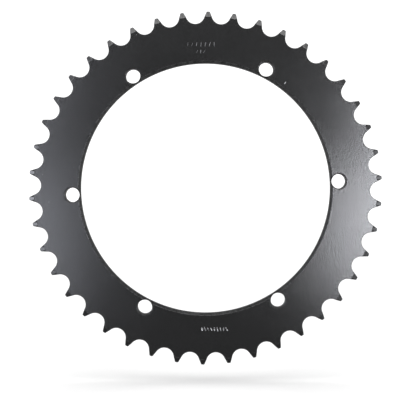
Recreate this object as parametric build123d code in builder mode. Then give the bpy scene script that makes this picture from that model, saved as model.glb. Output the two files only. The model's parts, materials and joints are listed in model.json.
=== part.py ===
from build123d import *
import math
import os

os.makedirs("parts", exist_ok=True)

# Bare rear chain sprocket: one flat steel ring with teeth, a large hub bore and bolt holes.
# Frame: the ring stands in the XZ plane and turns about Y. The origin is the bore's centre,
# midway between the two faces. The front face looks towards -Y, and +Z is up.
# Angles are in degrees, from +X towards +Z.

# ---- Chain (520 size) ----
chain_pitch = 15.875
roller_diameter = 10.16

# ---- Tooth ring ----
tooth_count = 42
first_tooth_angle = 3.4
seat_clearance = 0.76       # the seat's radius over the roller's
seat_half_angle = 66.8      # from the middle of a gap to where the seat meets the flank
flank_factor = 0.12         # ISO 606: flank radius = factor * roller diameter * (teeth + 2)
flank_reach = 12.0          # length of flank drawn, past the tip circle
tip_corner_radius = 0.7
tip_corner_share = 0.35     # a rounded corner takes at most this share of a tooth's tip

# ---- Plate ----
thickness = 5.9
rim_width = 24.135          # from the bore to the roots of the teeth
facet_length = 3.32         # turned slope on both sides of each tooth's tip, along the radius
facet_depth = 1.15          # how far that slope falls at the tip
bore_chamfer = 1.25

# ---- Bolt holes ----
bolt_count = 6
first_bolt_angle = 2.94
bolt_hole_diameter = 9.0
bore_web = 0.6              # metal between a bolt hole and the bore
bolt_hole_chamfer = 0.55

# ---- Punched marks on the front face: plain bars, no lettering ----
mark_depth = 0.15
mark_bar_width = 0.55
mark_rows = (
    # angle of the row, its distance out from the bore, bars, space between bars, bar height
    (91.8, 11.4, 7, 2.7, 3.4),
    (92.0, 7.0, 3, 2.2, 2.8),
    (273.6, 9.8, 9, 1.9, 3.0),
)

# ---- Sizes worked out from the values above ----
tooth_angle = 360 / tooth_count
pitch_radius = chain_pitch / (2 * math.sin(math.radians(tooth_angle / 2)))
root_radius = pitch_radius - roller_diameter / 2
tip_radius = pitch_radius + (chain_pitch * (1 - 1.6 / tooth_count) - roller_diameter) / 2
seat_radius = roller_diameter / 2 + seat_clearance
seat_centre = root_radius + seat_radius
flank_radius = flank_factor * roller_diameter * (tooth_count + 2)
bore_radius = root_radius - rim_width
bolt_circle_radius = bore_radius + bore_web + bolt_hole_diameter / 2
half_thickness = thickness / 2

front = Plane.XZ.offset(half_thickness)
back = Plane.ZX.offset(half_thickness)

# ---- Gap between two teeth, drawn at the right-hand end of the X axis ----
with BuildSketch() as tooth_gap:
    with BuildLine() as gap_line:
        seat = CenterArc(
            (seat_centre, 0),
            seat_radius,
            180 - seat_half_angle,
            2 * seat_half_angle,
        )
        flank_sweep = math.degrees(flank_reach / flank_radius)
        lower_flank = JernArc(seat @ 1, seat % 1, flank_radius, -flank_sweep)
        upper_flank = JernArc(seat @ 0, (seat % 0) * -1, flank_radius, flank_sweep)
        Line(lower_flank @ 1, upper_flank @ 1)
    make_face()

with BuildPart() as sprocket_ring:
    # Turned blank: a flat ring, its bore edges chamfered and its rim sloped on both sides
    with BuildSketch(Plane.XY) as blank_section:
        with BuildLine():
            Polyline(
                (bore_radius, -half_thickness + bore_chamfer),
                (bore_radius + bore_chamfer, -half_thickness),
                (tip_radius - facet_length, -half_thickness),
                (tip_radius, -half_thickness + facet_depth),
                (tip_radius, half_thickness - facet_depth),
                (tip_radius - facet_length, half_thickness),
                (bore_radius + bore_chamfer, half_thickness),
                (bore_radius, half_thickness - bore_chamfer),
                close=True,
            )
        make_face()
    revolve(axis=Axis.Y)

    # Tooth outline, cut straight through the blank
    with BuildSketch(Plane.XZ) as tooth_outline:
        Circle(tip_radius)
        with PolarLocations(0, tooth_count, first_tooth_angle + tooth_angle / 2):
            add(tooth_gap.sketch, mode=Mode.SUBTRACT)
        tip_edges = tooth_outline.edges().filter_by(
            lambda edge: math.isclose((edge @ 0.5).length, tip_radius, abs_tol=1e-4)
        )
        tip_width = min(edge.length for edge in tip_edges)
        fillet(
            tip_edges.vertices(),
            min(tip_corner_radius, tip_corner_share * tip_width),
        )
    extrude(amount=thickness, both=True, mode=Mode.INTERSECT)

    # Bolt holes, countersunk a little on both faces
    for face_plane, turn in ((front, 1), (back, -1)):
        with Locations(face_plane):
            first = first_bolt_angle if turn > 0 else 90 - first_bolt_angle
            with PolarLocations(bolt_circle_radius, bolt_count, first):
                CounterSinkHole(
                    bolt_hole_diameter / 2,
                    bolt_hole_diameter / 2 + bolt_hole_chamfer,
                    counter_sink_angle=90,
                )

    # Punched marks
    with BuildSketch(front) as marks:
        for row_angle, row_distance, bars, spacing, height in mark_rows:
            row_radius = bore_radius + row_distance
            row_x = row_radius * math.cos(math.radians(row_angle))
            row_z = row_radius * math.sin(math.radians(row_angle))
            with Locations((row_x, row_z)), GridLocations(spacing, 0, bars, 1):
                SlotOverall(height, mark_bar_width, rotation=90)
    extrude(amount=-mark_depth, mode=Mode.SUBTRACT)

sprocket_ring.part.label = "sprocket_ring"
export_step(sprocket_ring.part, "parts/sprocket_ring.step")
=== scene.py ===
import json
import math

import bmesh
import bpy
from mathutils import Euler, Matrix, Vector


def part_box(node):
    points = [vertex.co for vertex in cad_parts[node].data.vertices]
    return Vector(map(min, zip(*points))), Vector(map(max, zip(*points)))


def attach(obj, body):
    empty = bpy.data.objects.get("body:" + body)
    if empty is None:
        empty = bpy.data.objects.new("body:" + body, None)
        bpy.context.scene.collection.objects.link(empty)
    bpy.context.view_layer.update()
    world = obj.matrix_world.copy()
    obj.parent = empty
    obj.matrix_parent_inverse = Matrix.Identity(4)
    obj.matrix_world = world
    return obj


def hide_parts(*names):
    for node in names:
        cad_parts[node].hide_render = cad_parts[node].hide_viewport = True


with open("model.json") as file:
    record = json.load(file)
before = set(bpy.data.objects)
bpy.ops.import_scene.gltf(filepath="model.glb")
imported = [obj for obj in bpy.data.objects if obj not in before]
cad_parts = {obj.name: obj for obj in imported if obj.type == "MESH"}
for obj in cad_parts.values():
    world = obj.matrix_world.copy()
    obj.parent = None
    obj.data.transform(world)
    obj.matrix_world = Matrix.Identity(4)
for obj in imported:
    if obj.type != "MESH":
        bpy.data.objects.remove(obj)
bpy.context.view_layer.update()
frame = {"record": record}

# Lengths are in metres and angles in radians. The ring stands in the XZ plane and turns about Y;
# its front face looks towards -Y.

MM = 0.001

# ---- Sizes that the frame gives ----
MOUNTS = {mount["name"]: mount for mount in frame["record"]["mounts"]}
LOW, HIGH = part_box("sprocket_ring")
HALF_THICKNESS = (HIGH.y - LOW.y) / 2
BORE_RADIUS = MOUNTS["hub_bore"]["dims"]["r_mm"] * MM
BOLTS = MOUNTS["hub_bolts"]["dims"]
BOLT_CIRCLE = BOLTS["pcd_mm"] / 2 * MM
BOLT_HOLE = BOLTS["hole_r_mm"] * MM

# ---- Chain and teeth ----
CHAIN_PITCH = 15.875 * MM
ROLLER = 10.16 * MM
TEETH = 42
TOOTH_ANGLE = 2 * math.pi / TEETH
FIRST_TOOTH = math.radians(3.4)
FIRST_BOLT = math.radians(2.94)
PITCH_RADIUS = CHAIN_PITCH / (2 * math.sin(TOOTH_ANGLE / 2))
ROOT_RADIUS = PITCH_RADIUS - ROLLER / 2
TIP_RADIUS = PITCH_RADIUS + (CHAIN_PITCH * (1 - 1.6 / TEETH) - ROLLER) / 2
SEAT_RADIUS = ROLLER / 2 + 0.76 * MM
SEAT_HALF_ANGLE = math.radians(66.8)
FLANK_RADIUS = 0.12 * ROLLER * (TEETH + 2)
TIP_CORNER = 0.65 * MM
FACET_LENGTH = 3.32 * MM
FACET_DEPTH = 1.15 * MM
FACET_RADIUS = TIP_RADIUS - FACET_LENGTH

# ---- Edges ----
EDGE_ROUND = 0.3 * MM
CREASE_HALF_WIDTH = 0.22 * MM
FACE_MARGIN = 1.6 * MM          # from the roots of the teeth in to where the plain face begins
WEAR_AND_HIGHLIGHT_MARGIN = 1.0 * MM          # from the roots of the teeth in to where the edge wear and painted highlight end
BORE_CHAMFER = 1.25 * MM
HOLE_CHAMFER = 0.55 * MM
CORNER_EASE = 0.12 * MM
SHARP_EDGE = math.radians(32)   # faces that meet at more than this don't share their shading

# ---- Countersink cutters: how far they stand out of the face and go in ----
CUTTER_ABOVE = 0.3 * MM
CUTTER_BELOW = 1.4 * MM
# The chamfer itself, and a flatter second cut that eases its outer corner: widening, slope
COUNTERSINKS = ((0.0, 1.0), (0.10 * MM, 2.4))

# ---- Punched bars: angle, distance out from the bore, bars, spacing, height, width, lean ----
MARK_ROWS = (
    (91.8, 11.4, 7, 2.7, 3.4, 0.50, 4.0),
    (92.0, 7.0, 3, 2.2, 2.8, 0.50, 18.0),
    (273.6, 9.8, 9, 1.9, 3.0, 0.85, -14.0),
)
BARE_ROW = 2
MARK_DEPTH = 0.16 * MM

# ---- Nick in the front face: place across and up, length, width, depth, lean ----
NICK = (49.0, 64.7, 1.7, 0.45, 0.10, 35.0)


# ======================================================================================
# Node graphs written as expressions
# ======================================================================================

class Wire:
    """An output socket. Arithmetic on it adds the Math nodes that the expression stands for."""

    def __init__(self, graph, socket):
        self.graph = graph
        self.socket = socket

    def _math(self, operation, *values):
        inputs = dict(enumerate(values))
        return self.graph.node("ShaderNodeMath", {"operation": operation}, inputs)

    def __add__(self, other):
        return self._math("ADD", self, other)

    def __sub__(self, other):
        return self._math("SUBTRACT", self, other)

    def __mul__(self, other):
        return self._math("MULTIPLY", self, other)

    def __truediv__(self, other):
        return self._math("DIVIDE", self, other)

    def __mod__(self, other):
        return self._math("FLOORED_MODULO", self, other)

    def __lt__(self, other):
        return self._math("LESS_THAN", self, other)

    def __gt__(self, other):
        return self._math("GREATER_THAN", self, other)

    def __neg__(self):
        return self._math("MULTIPLY", self, -1.0)

    def __radd__(self, other):
        return self._math("ADD", other, self)

    def __rsub__(self, other):
        return self._math("SUBTRACT", other, self)

    def __rmul__(self, other):
        return self._math("MULTIPLY", other, self)

    def __rtruediv__(self, other):
        return self._math("DIVIDE", other, self)

    def floor(self):
        return self._math("FLOOR", self)

    def sine(self):
        return self._math("SINE", self)

    def cosine(self):
        return self._math("COSINE", self)

    def absolute(self):
        return self._math("ABSOLUTE", self)

    def at_most(self, other):
        return self._math("MINIMUM", self, other)

    def at_least(self, other):
        return self._math("MAXIMUM", self, other)

    def ramp(self, low, high):
        """0 at low, 1 at high, and straight between them."""
        values = {"Value": self, "From Min": low, "From Max": high}
        return self.graph.node("ShaderNodeMapRange", {"clamp": True}, values)


class Graph:
    """A node tree, filled by node(): the settings first, then the values and links of the sockets."""

    def __init__(self, tree):
        self.tree = tree

    def node(self, kind, settings=None, inputs=None, out=0):
        made = self.tree.nodes.new(kind)
        for name, value in (settings or {}).items():
            if name == "stops":
                fill_ramp(made.color_ramp, value)
            elif name == "items":
                for _ in range(value - len(made.index_switch_items)):
                    made.index_switch_items.new()
            else:
                setattr(made, name, value)
        for key, value in (inputs or {}).items():
            self.feed(made, key, value)
        return Wire(self, made.outputs[out])

    def feed(self, made, key, value):
        if isinstance(key, int):
            socket = made.inputs[key]
        else:
            socket = next(s for s in made.inputs if key in (s.identifier, s.name))
        wires = value if isinstance(value, list) else [value]
        for wire in wires:
            if isinstance(wire, Wire):
                self.tree.links.new(wire.socket, socket)
            else:
                socket.default_value = wire

    def vector(self, x, y, z):
        return self.node("ShaderNodeCombineXYZ", None, {0: x, 1: y, 2: z})

    def vector_math(self, operation, *values, out=0):
        inputs = dict(enumerate(values))
        return self.node("ShaderNodeVectorMath", {"operation": operation}, inputs, out)

    def scaled(self, vector, factor):
        inputs = {0: vector, "Scale": factor}
        return self.node("ShaderNodeVectorMath", {"operation": "SCALE"}, inputs)

    def length(self, vector):
        return self.vector_math("LENGTH", vector, out=1)

    def noise(self, place, scale, detail, roughness):
        return self.node("ShaderNodeTexNoise", None, {
            "Vector": place, "Scale": scale, "Detail": detail, "Roughness": roughness})

    def specks(self, place, scale, size, rarity):
        """1 inside small round specks, one at most in each cell and none in most of them."""
        cell = {"Vector": place, "Scale": scale}
        near = self.node("ShaderNodeTexVoronoi", None, cell) < size
        chosen = self.node("ShaderNodeTexVoronoi", None, cell, out=1)
        return near * (self.node("ShaderNodeSeparateXYZ", None, {0: chosen}) > rarity)


def fill_ramp(ramp, stops):
    while len(ramp.elements) < len(stops):
        ramp.elements.new(0.5)
    for element, (position, grey) in zip(ramp.elements, stops):
        element.position = position
        element.color = (grey, grey, grey, 1)


# ======================================================================================
# Materials
# ======================================================================================

def new_material(name):
    material = bpy.data.materials.new(name)
    material.use_nodes = True
    graph = Graph(material.node_tree)
    shader = material.node_tree.nodes["Principled BSDF"]
    return material, graph, shader


def satin_black_coat():
    """Thin black coat baked over ground steel plate, rubbed on the creases and edges, which are
    painted lighter: partly the worn coat, partly a painted highlight along the creases.
    """
    material, graph, shader = new_material("satin_black_coat")
    place = graph.node("ShaderNodeTexCoord", out=3)
    orange_peel = graph.noise(place, 1100.0, 2.0, 0.5)
    cloud = graph.noise(place, 35.0, 4.0, 0.55)
    upright = graph.node("ShaderNodeMapping", None, {
        "Vector": place, "Rotation": (0.0, 0.10, 0.0), "Scale": (1.0, 1.0, 0.38)})
    grain = graph.noise(upright, 1500.0, 3.0, 0.6)
    patchy = graph.noise(place, 420.0, 3.0, 0.6)
    edge = graph.node("ShaderNodeAttribute", {"attribute_name": "worn_edge"}, out=2)
    # Edges and tooth creases are painted lighter here: partly worn coat, partly a painted highlight
    # line along the creases.
    rubbed_and_highlight = edge * patchy.ramp(0.35, 0.6)
    dust = graph.specks(place, 260.0, 0.045, 0.93)

    shade = 0.001 + cloud * 0.003 + grain * 0.006 + rubbed_and_highlight * 0.05 + dust * 0.22
    graph.feed(shader, "Base Color", graph.vector(shade, shade * 1.01, shade * 1.03))
    roughness = 0.155 + cloud * 0.04 + grain * 0.03 + rubbed_and_highlight * 0.06 + dust * 0.4
    graph.feed(shader, "Roughness", roughness)
    height = orange_peel * 0.45 + grain * 0.55
    bump = graph.node("ShaderNodeBump", None, {
        "Strength": 1.0, "Distance": 0.000048, "Height": height})
    graph.feed(shader, "Normal", bump)
    return material


def punched_steel(name, bareness):
    """Steel under a punch: bareness says how much of the coat is gone."""
    material, graph, shader = new_material(name)
    place = graph.node("ShaderNodeTexCoord", out=3)
    flake = graph.noise(place, 1300.0, 3.0, 0.6)
    stroke = graph.noise(place, 230.0, 2.0, 0.5)
    bare = (flake * 0.6 + stroke * 0.4).ramp(0.42, 0.6) * bareness
    shade = 0.02 + bare * 0.42
    graph.feed(shader, "Base Color", graph.vector(shade, shade, shade * 1.02))
    graph.feed(shader, "Metallic", bare * 0.5)
    graph.feed(shader, "Roughness", 0.5 - bare * 0.1)
    return material


# ======================================================================================
# Sprocket ring
# ======================================================================================

def flank_angle(radius):
    """Angle from the middle of a tooth gap to the flank, where the flank crosses this radius."""
    seat_centre = ROOT_RADIUS + SEAT_RADIUS
    reach = SEAT_RADIUS + FLANK_RADIUS
    centre = Vector((
        seat_centre - reach * math.cos(SEAT_HALF_ANGLE),
        reach * math.sin(SEAT_HALF_ANGLE),
    ))
    away = centre.length
    cosine = (radius ** 2 + away ** 2 - FLANK_RADIUS ** 2) / (2 * radius * away)
    return math.atan2(centre.y, centre.x) - math.acos(cosine)


def gap_corner_radius(foot_angle):
    """Radius of the sharp corner that, once rounded, becomes the seat between two flanks."""
    foot = Vector((
        FACET_RADIUS * math.cos(foot_angle),
        FACET_RADIUS * math.sin(foot_angle),
    ))
    to_seat = Vector((ROOT_RADIUS + SEAT_RADIUS, 0)) - foot
    turn = math.asin(SEAT_RADIUS / to_seat.length)
    slope = math.atan2(to_seat.y, to_seat.x) - turn
    return foot.x - foot.y / math.tan(slope)


FOOT_ANGLE = flank_angle(FACET_RADIUS)
TIP_ANGLE = flank_angle(TIP_RADIUS)

RING_SIZES = {
    "Teeth": TEETH,
    "First Tooth": FIRST_TOOTH,
    "Gap Corner Radius": gap_corner_radius(FOOT_ANGLE),
    "Seat Radius": SEAT_RADIUS,
    "Root Radius": ROOT_RADIUS,
    "Facet Radius": FACET_RADIUS,
    "Facet Foot Angle": FOOT_ANGLE,
    "Facet Depth": FACET_DEPTH,
    "Tip Radius": TIP_RADIUS,
    "Tip Angle": TIP_ANGLE,
    "Tip Corner": TIP_CORNER,
    "Half Thickness": HALF_THICKNESS,
    "Edge Round": EDGE_ROUND,
    "Bore Radius": BORE_RADIUS,
    "Bore Chamfer": BORE_CHAMFER,
    "Corner Ease": CORNER_EASE,
    "Bolts": BOLTS["count"],
    "First Bolt": FIRST_BOLT,
    "Bolt Circle": BOLT_CIRCLE,
    "Bolt Hole": BOLT_HOLE,
    "Hole Chamfer": HOLE_CHAMFER,
    "Mark Seed": 7,
}
SEAT_POINTS = 16
TIP_POINTS = 4
ROWS_A_SIDE = 14
HOLE_SIDES = 72


def pick(graph, index, values, data_type="FLOAT"):
    """The value in the list that the index points to."""
    settings = {"data_type": data_type, "items": len(values)}
    inputs = {"Index": index}
    for number, value in enumerate(values):
        inputs[f"Item_{number}"] = value
    return graph.node("GeometryNodeIndexSwitch", settings, inputs)


def store(graph, geometry, name, value, data_type):
    settings = {"data_type": data_type, "domain": "POINT"}
    inputs = {"Geometry": geometry, "Name": name, "Value": value}
    return graph.node("GeometryNodeStoreNamedAttribute", settings, inputs)


def named(graph, name, data_type):
    return graph.node("GeometryNodeInputNamedAttribute", {"data_type": data_type}, {"Name": name})


def rim_outline(graph, size):
    """Closed outline of the teeth: five corners a tooth, rounded into seats and tips."""
    index = graph.node("GeometryNodeInputIndex")
    corner = index % 5
    tooth = (index / 5).floor()
    pitch = 2 * math.pi / size["Teeth"]
    radius = pick(graph, corner, [
        size["Gap Corner Radius"],
        size["Facet Radius"],
        size["Tip Radius"],
        size["Tip Radius"],
        size["Facet Radius"],
    ])
    within = pick(graph, corner, [
        0.0,
        size["Facet Foot Angle"],
        size["Tip Angle"],
        pitch - size["Tip Angle"],
        pitch - size["Facet Foot Angle"],
    ])
    angle = size["First Tooth"] + pitch * (tooth + 0.5) + within
    corners = graph.node("GeometryNodeCurvePrimitiveCircle", None, {
        "Resolution": size["Teeth"] * 5})
    placed = graph.node("GeometryNodeSetPosition", None, {
        "Geometry": corners,
        "Position": graph.vector(radius * angle.cosine(), 0.0, radius * angle.sine()),
    })
    tip = size["Tip Corner"]
    rounded = graph.node("GeometryNodeFilletCurve", {"mode": "POLY"}, {
        "Curve": placed,
        "Count": pick(graph, corner, [SEAT_POINTS, 1, TIP_POINTS, TIP_POINTS, 1], "INT"),
        "Radius": pick(graph, corner, [size["Seat Radius"], 0.0, tip, tip, 0.0]),
    })
    position = graph.node("GeometryNodeInputPosition")
    tangent = graph.node("GeometryNodeInputTangent")
    outward = graph.vector_math("CROSS_PRODUCT", (0.0, 1.0, 0.0), tangent)
    outline = store(graph, rounded, "rim", position, "FLOAT_VECTOR")
    return store(graph, outline, "outward", outward, "FLOAT_VECTOR")


def ring_body(graph, size):
    """The outline swept by a closed section: rounded rim, sloped tips, flat faces, chamfered bore."""
    section = graph.node("GeometryNodeCurvePrimitiveCircle", None, {
        "Resolution": 2 * ROWS_A_SIDE})
    section = store(graph, section, "row", graph.node("GeometryNodeInputIndex"), "FLOAT")
    swept = graph.node("GeometryNodeCurveToMesh", None, {
        "Curve": rim_outline(graph, size), "Profile Curve": section})

    row = named(graph, "row", "FLOAT")
    back = row > ROWS_A_SIDE - 0.5
    step = back * (2 * ROWS_A_SIDE - 1 - 2 * row) + row
    ease = size["Corner Ease"]
    edge = size["Edge Round"]
    chamfer_edge = size["Bore Radius"] + size["Bore Chamfer"]
    far = 1.0
    inset = pick(graph, step, [0.0, edge * 0.134, edge * 0.5, edge] + [edge * 1.3] * 10)
    cap = pick(graph, step, [
        far, far, far, far, far,
        size["Facet Radius"] + CREASE_HALF_WIDTH,
        size["Facet Radius"],
        size["Facet Radius"] - CREASE_HALF_WIDTH,
        size["Root Radius"] - FACE_MARGIN,
        chamfer_edge + ease * 3,
        chamfer_edge + ease,
        chamfer_edge - ease * 0.707,
        size["Bore Radius"] + ease * 0.707,
        size["Bore Radius"],
    ])
    rim = named(graph, "rim", "FLOAT_VECTOR")
    outward = named(graph, "outward", "FLOAT_VECTOR")
    inner = graph.vector_math("SUBTRACT", rim, graph.scaled(outward, inset))
    on_tooth = graph.length(inner) > cap
    slope = size["Facet Depth"] / (size["Tip Radius"] - size["Facet Radius"])
    sink = pick(graph, step, [
        edge, edge * 0.5, edge * 0.134, 0.0, 0.0,
        0.0,
        on_tooth * slope * (CREASE_HALF_WIDTH / 4),
        0.0, 0.0, 0.0, 0.0,
        ease * 0.707,
        size["Bore Chamfer"] - ease * 0.707,
        size["Bore Chamfer"] + ease,
    ])
    radius = graph.length(inner).at_most(cap)
    flat = graph.scaled(graph.vector_math("NORMALIZE", inner), radius)
    fall = (radius - size["Facet Radius"]).at_least(0.0) * slope
    height = size["Half Thickness"] - fall - sink
    lift = graph.vector(0.0, height * (back * 2 - 1), 0.0)
    shaped = graph.node("GeometryNodeSetPosition", None, {
        "Geometry": swept, "Position": graph.vector_math("ADD", flat, lift)})
    crease = on_tooth * 1.0
    # Lighter edge colour for each row of the section: partly real edge wear, partly a painted
    # highlight, full on the crease at the foot of each sloped tip.
    wear_and_highlight = pick(graph, step, [
        0.5, 1.0, 1.0, 0.6, 0.0, 0.0, crease, 0.0, 0.0, 0.0, 0.3, 0.3, 0.3, 0.2])
    worn_and_highlight = store(graph, shaped, "worn_edge", wear_and_highlight, "FLOAT")
    return graph.node("GeometryNodeMergeByDistance", None, {
        "Geometry": worn_and_highlight, "Distance": 1e-6})


def wear_and_highlight_at_the_edges(graph, size, ring):
    """The ring with its edge wear and painted highlight kept to the teeth and the bore's chamfer, and
    none over the face.
    """
    away = graph.length(graph.node("GeometryNodeInputPosition"))
    at_the_teeth = away > size["Root Radius"] - WEAR_AND_HIGHLIGHT_MARGIN
    at_the_bore = away < size["Bore Radius"] + size["Bore Chamfer"] + size["Corner Ease"] * 2
    worn_and_highlight = named(graph, "worn_edge", "FLOAT") * (at_the_teeth + at_the_bore)
    return store(graph, ring, "worn_edge", worn_and_highlight, "FLOAT")


def hole_cutters(graph, size):
    """Drills and countersinks for the bolt holes, on both faces."""
    index = graph.node("GeometryNodeInputIndex")
    angle = size["First Bolt"] + index * (2 * math.pi / size["Bolts"])
    circle = graph.node("GeometryNodeMeshCircle", None, {"Vertices": size["Bolts"]})
    away = size["Bolt Circle"]
    centre = graph.vector(angle.cosine() * away, 0.0, angle.sine() * away)
    centres = graph.node("GeometryNodeSetPosition", None, {"Geometry": circle, "Position": centre})
    drill = graph.node("GeometryNodeMeshCylinder", None, {
        "Vertices": HOLE_SIDES, "Radius": size["Bolt Hole"], "Depth": size["Half Thickness"] * 4})
    quarter = math.pi / 2
    tools = [graph.node("GeometryNodeTransform", None, {
        "Geometry": drill, "Rotation": (quarter, 0.0, 0.0)})]
    # A countersink is a cone through the chamfer's edge on the face.
    for widening, spread in COUNTERSINKS:
        face_radius = size["Bolt Hole"] + size["Hole Chamfer"] + widening
        cone = graph.node("GeometryNodeMeshCone", None, {
            "Vertices": HOLE_SIDES,
            "Radius Top": face_radius - CUTTER_BELOW,
            "Radius Bottom": face_radius + CUTTER_ABOVE * spread,
            "Depth": CUTTER_ABOVE + CUTTER_BELOW / spread,
        })
        for side in (-1, 1):
            height = (size["Half Thickness"] + CUTTER_ABOVE) * side
            tools.append(graph.node("GeometryNodeTransform", None, {
                "Geometry": cone,
                "Rotation": (side * quarter, 0.0, 0.0),
                "Translation": graph.vector(0.0, height, 0.0),
            }))
    return [
        graph.node("GeometryNodeInstanceOnPoints", None, {"Points": centres, "Instance": tool})
        for tool in tools
    ]


def chisel(graph, material):
    """Round-nosed cutter, 2 across each way before it is scaled."""
    ball = graph.node("GeometryNodeMeshUVSphere", None, {
        "Segments": 12, "Rings": 8, "Radius": 1.0})
    return graph.node("GeometryNodeSetMaterial", None, {"Geometry": ball, "Material": material})


def mark_cutters(graph, size, faint, bare):
    """Cutters for the punched bars, each a little different from the next, and for the nick."""
    cutters = []
    for number, (angle, distance, bars, spacing, height, width, lean) in enumerate(MARK_ROWS):
        radius = size["Bore Radius"] + distance * MM
        middle = radius * math.cos(math.radians(angle)) - (bars - 1) * spacing / 2 * MM
        level = radius * math.sin(math.radians(angle))
        line = graph.node("GeometryNodeMeshLine", None, {
            "Count": bars,
            "Start Location": graph.vector(middle, -size["Half Thickness"], level),
            "Offset": (spacing * MM, 0.0, 0.0),
        })
        turn = graph.node("FunctionNodeRandomValue", {"data_type": "FLOAT_VECTOR"}, {
            "Min": (0.0, math.radians(lean - 16), 0.0),
            "Max": (0.0, math.radians(lean + 16), 0.0),
            "Seed": size["Mark Seed"] + number,
        })
        half_width, half_height = width / 2 * MM, height / 2 * MM
        stretch = graph.node("FunctionNodeRandomValue", {"data_type": "FLOAT_VECTOR"}, {
            "Min": (half_width * 0.7, MARK_DEPTH * 0.8, half_height * 0.7),
            "Max": (half_width * 1.2, MARK_DEPTH * 1.2, half_height),
            "Seed": size["Mark Seed"] + number,
        })
        cutters.append(graph.node("GeometryNodeInstanceOnPoints", None, {
            "Points": line,
            "Instance": chisel(graph, bare if number == BARE_ROW else faint),
            "Rotation": turn,
            "Scale": stretch,
        }))
    across, up, length, width, depth, lean = NICK
    cutters.append(graph.node("GeometryNodeTransform", None, {
        "Geometry": chisel(graph, bare),
        "Translation": graph.vector(across * MM, -size["Half Thickness"], up * MM),
        "Rotation": (0.0, math.radians(lean), 0.0),
        "Scale": (width / 2 * MM, depth * MM, length / 2 * MM),
    }))
    return cutters


def ring_tree(coat, faint, bare):
    """Geometry tree of the whole ring, with its sizes as named inputs."""
    tree = bpy.data.node_groups.new("sprocket_ring", "GeometryNodeTree")
    tree.interface.new_socket(name="Ring", in_out="OUTPUT", socket_type="NodeSocketGeometry")
    for name, value in RING_SIZES.items():
        kind = "NodeSocketInt" if isinstance(value, int) else "NodeSocketFloat"
        tree.interface.new_socket(name=name, in_out="INPUT", socket_type=kind)
    graph = Graph(tree)
    entry = tree.nodes.new("NodeGroupInput")
    size = {name: Wire(graph, entry.outputs[name]) for name in RING_SIZES}
    blank = graph.node("GeometryNodeSetMaterial", None, {
        "Geometry": ring_body(graph, size), "Material": coat})
    cut = graph.node("GeometryNodeMeshBoolean", {"operation": "DIFFERENCE", "solver": "EXACT"}, {
        "Mesh 1": blank,
        "Mesh 2": hole_cutters(graph, size) + mark_cutters(graph, size, faint, bare),
    })
    punched = 0.0
    for material in (faint, bare):
        punched += graph.node("GeometryNodeMaterialSelection", None, {"Material": material})
    real = graph.node("GeometryNodeRealizeInstances", None, {
        "Geometry": wear_and_highlight_at_the_edges(graph, size, cut)})
    coated = graph.node("GeometryNodeSetMaterial", None, {
        "Geometry": real, "Selection": 1 - punched, "Material": coat})
    leave = tree.nodes.new("NodeGroupOutput")
    graph.feed(leave, "Ring", coated)
    return tree


def make_ring(coat, faint, bare):
    """The ring as a plain closed mesh, from the geometry tree."""
    tree = ring_tree(coat, faint, bare)
    seed_mesh = bpy.data.meshes.new("ring_seed")
    blank = bpy.data.objects.new("ring_blank", seed_mesh)
    bpy.context.scene.collection.objects.link(blank)
    modifier = blank.modifiers.new("shape", "NODES")
    modifier.node_group = tree
    for item in tree.interface.items_tree:
        if item.in_out == "INPUT":
            modifier[item.identifier] = RING_SIZES[item.name]
    bpy.context.view_layer.update()
    evaluated = blank.evaluated_get(bpy.context.evaluated_depsgraph_get())
    mesh = bpy.data.meshes.new_from_object(evaluated)
    bpy.data.objects.remove(blank)
    ring = bpy.data.objects.new("toothed_ring", mesh)
    bpy.context.scene.collection.objects.link(ring)
    whole = bmesh.new()
    whole.from_mesh(mesh)
    bmesh.ops.recalc_face_normals(whole, faces=whole.faces)
    whole.to_mesh(mesh)
    whole.free()
    for helper in ("row", "rim", "outward"):
        mesh.attributes.remove(mesh.attributes[helper])
    mesh.shade_smooth()
    mesh.set_sharp_from_angle(angle=SHARP_EDGE)
    ring.data = shade_by_widest_face(ring)
    shade_flats_flat(ring.data)
    return ring


def shade_by_widest_face(piece):
    """Mesh whose smooth shading follows the flat faces, so that only the roundings bend the light."""
    modifier = piece.modifiers.new("shading", "WEIGHTED_NORMAL")
    modifier.mode = "FACE_AREA"
    modifier.weight = 100
    modifier.keep_sharp = True
    bpy.context.view_layer.update()
    evaluated = piece.evaluated_get(bpy.context.evaluated_depsgraph_get())
    mesh = bpy.data.meshes.new_from_object(evaluated)
    piece.modifiers.remove(modifier)
    return mesh


def shade_flats_flat(mesh):
    """The two flat faces shade exactly flat, and each rounding beside them starts from there."""
    side = {}
    for face in mesh.polygons:
        if abs(face.normal.y) > 0.9999:
            for vertex in face.vertices:
                side[vertex] = math.copysign(1.0, face.normal.y)
    nearly_flat = math.cos(SHARP_EDGE)
    normals = []
    for loop, corner in zip(mesh.loops, mesh.corner_normals):
        towards = side.get(loop.vertex_index, 0.0)
        if corner.vector.y * towards > nearly_flat:
            normals.append((0.0, towards, 0.0))
        else:
            normals.append(corner.vector[:])
    mesh.normals_split_custom_set(normals)


# ======================================================================================
# Stage, light and camera
# ======================================================================================

def softbox(name, tilt, azimuth, size, power, colour, subject):
    """Area light aimed at the ring: tilt from the camera's side, azimuth round the view.

    It lights only the subject, so that the floor stays evenly white.
    """
    tilt, azimuth = math.radians(tilt), math.radians(azimuth)
    towards = Vector((
        math.sin(tilt) * math.cos(azimuth),
        -math.cos(tilt),
        math.sin(tilt) * math.sin(azimuth),
    ))
    lamp = bpy.data.lights.new(name, "AREA")
    lamp.shape = "RECTANGLE"
    lamp.size, lamp.size_y = size
    lamp.energy = power
    lamp.color = colour
    holder = bpy.data.objects.new(name, lamp)
    holder.location = towards * SOFTBOX_DISTANCE
    holder.rotation_euler = towards.to_track_quat("Z", "Y").to_euler()
    holder.light_linking.receiver_collection = subject
    bpy.context.scene.collection.objects.link(holder)


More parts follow.
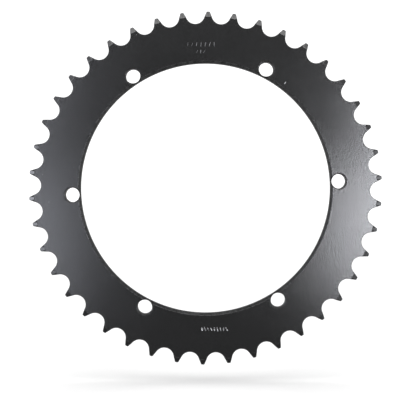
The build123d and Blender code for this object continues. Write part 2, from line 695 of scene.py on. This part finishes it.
FLOOR_GAP = 10 * MM             # from the lowest tooth down to the floor
FLOOR_REACH = 3.0

COOL = (0.975, 0.99, 1.045)
COOLER = (0.95, 0.98, 1.09)
NEUTRAL = (1.0, 1.0, 1.0)

# name, tilt, azimuth, width, height, power, colour
SOFTBOXES = (
    ("key", 17, -13, 0.20, 0.30, 3.9, COOL),
    ("key_upper", 22, 15, 0.16, 0.24, 3.8, COOL),
    ("second", 18, 196, 0.20, 0.35, 1.5, COOLER),
    ("second_upper", 24, 146, 0.24, 0.50, 2.3, COOLER),
    ("left_wing", 55, 179, 0.40, 0.56, 6.7, COOLER),
    ("left_wing_lower", 51, 201, 0.38, 0.36, 2.3, COOLER),
    ("left_wing_upper", 52, 145, 0.65, 0.65, 2.3, COOLER),
    ("right_wing", 56, -1, 0.44, 0.56, 3.9, COOL),
    ("right_wing_lower", 52, -33, 0.53, 0.58, 1.2, COOL),
    ("right_wing_upper", 53, 31, 0.53, 0.62, 0.7, COOL),
    ("overhead", 40, 89, 1.50, 0.80, 18.0, NEUTRAL),
    ("zenith", 88, 90, 0.80, 0.80, 1.0, NEUTRAL),
    ("back_left", 128, 190, 0.70, 1.00, 3.5, COOL),
    ("back_right", 128, -10, 0.70, 1.00, 3.5, COOL),
)
SOFTBOX_DISTANCE = 1.5

# name, width as an angle, energy: light straight down on the floor
CEILING = (
    ("ceiling", 75, 2.3),
    ("ceiling_middle", 32, 1.0),
)


def make_light(subject, ground):
    """The softboxes shine on the ring alone, and the ceiling on the floor alone."""
    for name, tilt, azimuth, width, height, power, colour in SOFTBOXES:
        softbox(name, tilt, azimuth, (width, height), power, colour, subject)
    for name, width, energy in CEILING:
        ceiling = bpy.data.lights.new(name, "SUN")
        ceiling.energy = energy
        ceiling.angle = math.radians(width)
        holder = bpy.data.objects.new(name, ceiling)
        holder.light_linking.receiver_collection = ground
        bpy.context.scene.collection.objects.link(holder)


def make_room():
    """White to the camera; to the ring, a dim room whose side walls are the lighter ones."""
    world = bpy.data.worlds.new("room")
    world.use_nodes = True
    graph = Graph(world.node_tree)
    backing = world.node_tree.nodes["Background"]
    seen = graph.node("ShaderNodeLightPath")
    direction = graph.node("ShaderNodeTexCoord")
    across = graph.node("ShaderNodeSeparateXYZ", None, {0: direction})
    walls = across.absolute().ramp(0.45, 0.75)
    graph.feed(backing, "Color", (1.0, 1.0, 1.0, 1.0))
    graph.feed(backing, "Strength", 0.26 + walls * 0.34 + seen)
    bpy.context.scene.world = world


def make_floor():
    mesh = bpy.data.meshes.new("floor")
    level = LOW.z - FLOOR_GAP
    reach = FLOOR_REACH
    corners = [(-reach, -reach), (reach, -reach), (reach, reach), (-reach, reach)]
    mesh.from_pydata([(x, y, level) for x, y in corners], [], [(0, 1, 2, 3)])
    floor = bpy.data.objects.new("floor", mesh)
    floor.visible_glossy = False
    bpy.context.scene.collection.objects.link(floor)
    material, graph, shader = new_material("pale_floor")
    graph.feed(shader, "Base Color", (0.75, 0.75, 0.75, 1.0))
    graph.feed(shader, "Roughness", 1.0)
    graph.feed(shader, "Specular IOR Level", 0.0)
    graph.feed(shader, "Emission Color", (1.0, 1.0, 1.0, 1.0))
    graph.feed(shader, "Emission Strength", 0.10)
    mesh.materials.append(material)
    return floor


def make_camera():
    lens = bpy.data.cameras.new("camera")
    lens.sensor_width = 36.0
    lens.lens = 69.3
    lens.shift_x = 0.0060
    lens.shift_y = -0.0479
    lens.clip_start = 0.01
    camera = bpy.data.objects.new("camera", lens)
    camera.location = (0.0, -0.4949, 0.0)
    camera.rotation_euler = Euler((math.pi / 2, 0.0, 0.0))
    bpy.context.scene.collection.objects.link(camera)
    bpy.context.scene.camera = camera


def group(name, piece):
    """Collection that a light can be told to shine on alone."""
    collection = bpy.data.collections.new(name)
    collection.objects.link(piece)
    return collection


make_camera()
make_room()
floor = make_floor()
ring = make_ring(
    satin_black_coat(),
    punched_steel("punched_under_coat", 0.25),
    punched_steel("punched_bare", 1.0),
)
make_light(group("subject", ring), group("ground", floor))
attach(ring, "root")
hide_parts("sprocket_ring")
bpy.context.scene.view_settings.view_transform = "Standard"
